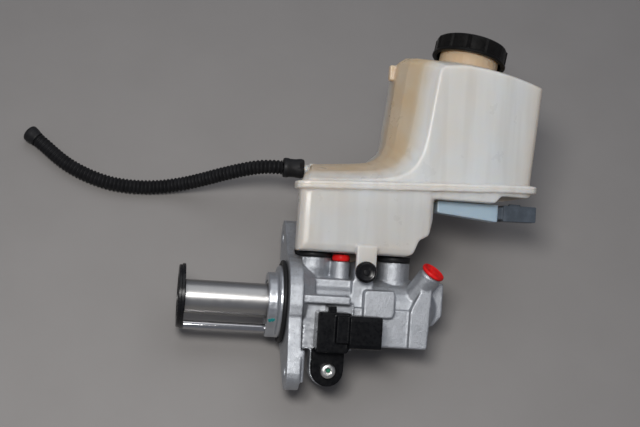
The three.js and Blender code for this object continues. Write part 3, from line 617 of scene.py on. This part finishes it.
# ------------------------------------------------------------------ piston, plate and switch rod
def make_plunger():
    piston = lathe([(0, -44), (4.4, -47), (7.4, -50), (7.4, PISTON_REAR + 0.4), (7.8, PISTON_REAR),
                    (11.3, PISTON_REAR), (11.7, PISTON_REAR + 0.4), (11.7, 33.6), (11.3, 34), (9.2, 34),
                    (9.2, 6), (0, 6)], ORIGIN, X, 128)
    bright = object_from("bright_piston", piston, BENCH, "primary_plunger", TURNED, ["primary_piston"], 30)
    front, back = PISTON_REAR - 0.3, PISTON_REAR - 2.6
    disc = lathe(closed([(8.6, back), (22.0, back), (22.4, back + 0.3), (22.4, front - 0.3), (22.1, front),
                         (8.6, front)]), ORIGIN, X, 128)
    rim = lathe(closed([(15.5, back - 2.2), (20.9, back - 2.2), (21.6, back - 1.6), (21.6, back - 0.05),
                        (15.5, back - 0.05)]), ORIGIN, X, 128)
    plate = object_from("black_push_plate", together(disc, rim), BENCH, "primary_plunger", BLACK,
                        ["push_plate"], 40)
    tip = PISTON_REAR - 4.4
    rod = lathe([(0, tip), (1.8, tip), (2.1, PISTON_REAR - 4.1), (2.1, PISTON_REAR), (2.9, PISTON_REAR),
                 (3.2, PISTON_REAR + 0.3), (3.2, 22), (1.4, 22), (1.4, 35.4), (0, 35.4)], ROD_AT, X, 64)
    piece = object_from("polished_switch_rod", rod, BENCH, "primary_plunger", POLISHED, ["switch_rod"], 30)


# ------------------------------------------------------------------ reservoir
# Each grommet's node, place along x, flange radius and the height at which the flange starts.
GROMMETS = (("rear_grommet", REAR_BOSS_X, 12.9, 32.7), ("front_grommet", FRONT_BOSS_X, 11.9, 32.0))


def make_reservoir():
    down = ROLL.to_3x3() @ Vector((0.3 * SEAM_SLOPE, -0.36, 0)) * MM  # closes the gap at the weld
    tank = softened(["reservoir_lower_shell", "reservoir_upper_shell"], "housing", MILKY, voxel=0.9,
                    passes=4, shifts={"reservoir_upper_shell": down})
    for node, x, r, low in GROMMETS:
        profile = closed([(7.7, 23.5), (r - 3.8, 23.5), (r - 3, 25), (r - 3, low), (r - 0.5, low),
                          (r, low + 0.5), (r, 35.4), (r - 0.5, 35.9), (7.7, 35.9)])
        shape = lathe(profile, Vector((x, 0, 0)), Y, 72)
        ring = object_from(node + "_ring", shape, BENCH, "housing", RUBBER, [node], 50)


def make_pin():
    head = lathe([(0, 26.1), (6.7, 26.1), (7.3, 26.8), (7.3, 28.8), (6.7, 29.9), (5.6, 30.5), (4.8, 30.3),
                  (4.2, 29.9), (2.4, 29.9), (2.0, 30.4), (0, 30.6)], PIN_AT, Z, 64)
    shank = lathe([(0, -27), (2.4, -27), (3, -26), (3, 26.2), (0, 26.2)], PIN_AT, Z, 32)
    piece = object_from("leg_pin", together(head, shank), BENCH, "housing", BLACK, ["reservoir_pin"], 35)


# ------------------------------------------------------------------ filler cap
CAP_RIBS = 12
CAP_RIB_HEIGHT = 0.85
CAP_SIDE_R = 25.8


def cap_grip(a, r, t):
    """Thin raised ribs round the side of the cap, clear of its rim and its top."""
    if r != CAP_SIDE_R or not 2.4 < t < 12.6:
        return 0
    rib = 0.5 + 0.5 * math.cos(CAP_RIBS * a)
    return CAP_RIB_HEIGHT * rib ** 24


def make_cap():
    side = [(CAP_SIDE_R, t) for t in (2.8, 3.4, 5, 7, 9, 11, 12.2)]
    profile = [(0, 11.6), (23.6, 11.6), (23.6, 0.6), (24.2, 0), (26.7, 0), (27.1, 0.4), (27.1, 1.6),
               (26.6, 2.2), *side, (25.2, 13.3), (24.1, 13.8), (21.6, 13.8), (21.1, 13.3), (6, 13.2),
               (0, 13.3)]
    shape = lathe(profile, CAP_AT, CAP_AXIS, 432, cap_grip)
    cap = object_from("ribbed_cap", shape, BENCH, "cap", CAP_BLACK, ["filler_cap"], 40)


# ------------------------------------------------------------------ switch, level sensor, plugs
def make_switch():
    body = softened(["brake_switch_body"], "housing", CONNECTOR, voxel=0.45, passes=2)
    recess = 2.1

    def torx(a, r, t):  # the six lobes of the recess
        return 0.32 * math.cos(6 * a) if r <= recess + 0.1 else 0

    head = lathe([(0, 34.3), (4.8, 34.3), (5.1, 34.6), (5.1, 36.4), (4.9, 37.2), (4.2, 38), (3, 38.3),
                  (2.3, 38.3), (recess, 38.1), (recess - 0.1, 35.8), (0, 35.6)], SCREW_AT, Z, 96, torx)
    shank = lathe([(0, 19), (1.9, 19), (1.9, 34.4), (0, 34.4)], SCREW_AT, Z, 24)
    screw = object_from("torx_screw", together(head, shank), BENCH, "housing", ZINC, ["switch_screw"], 35)
    dab = lathe([(0, 36.9), (1.1, 36.8), (1.5, 36.3), (0, 36.2)], SCREW_AT + Vector((0.3, 0.2, 0)), Z, 24)
    object_from("screw_paint_dab", dab, BENCH, "housing", GREEN_PAINT)


def make_level_sensor():
    holder = softened(["level_sensor_holder"], "housing", SENSOR_BLUE, voxel=0.5, passes=3)
    connector = softened(["level_sensor_connector"], "housing", GREY_CONNECTOR, voxel=0.4, passes=2)


def make_plugs():
    front = lathe([(0, -9), (3.2, -9), (4.3, -7.6), (4.3, -1.2), (8, -1.2), (8.4, -0.6), (8.4, 0.4), (8, 1),
                   (7.2, 1.1), (6.6, 0.4), (4.6, 0.1), (3.5, -0.5), (2.7, -4.8), (0, -5.4)],
                  FRONT_PORT_AT, FRONT_PORT_AXIS, 72)
    piece = object_from("red_front_plug", front, BENCH, "front_plug", RED, ["front_outlet_plug"], 40)
    middle = lathe([(0, 22), (3.6, 22), (4.2, 23), (4.2, 30.7), (5.6, 30.7), (6, 31.2), (6.2, 33.2),
                    (5.5, 34.8), (4.6, 35.1), (0, 35.2)], MIDDLE_PORT_AT, Y, 56)
    piece = object_from("red_middle_plug", middle, BENCH, "housing", RED, ["middle_outlet_plug"], 40)


make_casting()
make_plunger()
make_reservoir()
make_pin()
make_cap()
make_switch()
make_level_sensor()
make_plugs()

# CAD nodes that are shown as they are.
CARRIED_OVER = {
    "piston_guide_ring": BLACK, "retaining_ring": ZINC, "outer_vacuum_seal": RUBBER,
    "primary_cup_seal": RUBBER,
    "separating_seal": RUBBER, "secondary_cup_seal": RUBBER, "rod_magnet": BLACK, "primary_spring": WIRE,
    "secondary_piston": TURNED, "secondary_spring": WIRE, "filler_strainer": STRAINER, "cap_gasket": RUBBER,
    "level_float": STRAINER, "switch_bush": ZINC, "level_sensor_terminal_1": BRASS,
    "level_sensor_terminal_2": BRASS, "brake_switch_terminal_1": BRASS, "brake_switch_terminal_2": BRASS,
    "brake_switch_terminal_3": BRASS, "brake_switch_terminal_4": BRASS,
}
for node, material in CARRIED_OVER.items():
    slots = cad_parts[node].data.materials
    slots.clear()
    slots.append(material)


# ------------------------------------------------------------------ table
def make_table():
    s = Surface("table", 0.55)
    s.feed("Base Color", s.mix((0.25, 0.238, 0.23), (0.285, 0.272, 0.264), s.noise(60, 4)))
    s.bump((s.noise(1.2, 3), 0.03))
    mesh = bpy.data.meshes.new("table")
    half, drop = 3.0, -0.0002
    corners = [(-half, -half, drop), (half, -half, drop), (half, half, drop), (-half, half, drop)]
    mesh.from_pydata(corners, [], [(0, 1, 2, 3)])
    table = bpy.data.objects.new("table", mesh)
    table.data.materials.append(s.material)
    bpy.context.scene.collection.objects.link(table)


make_table()
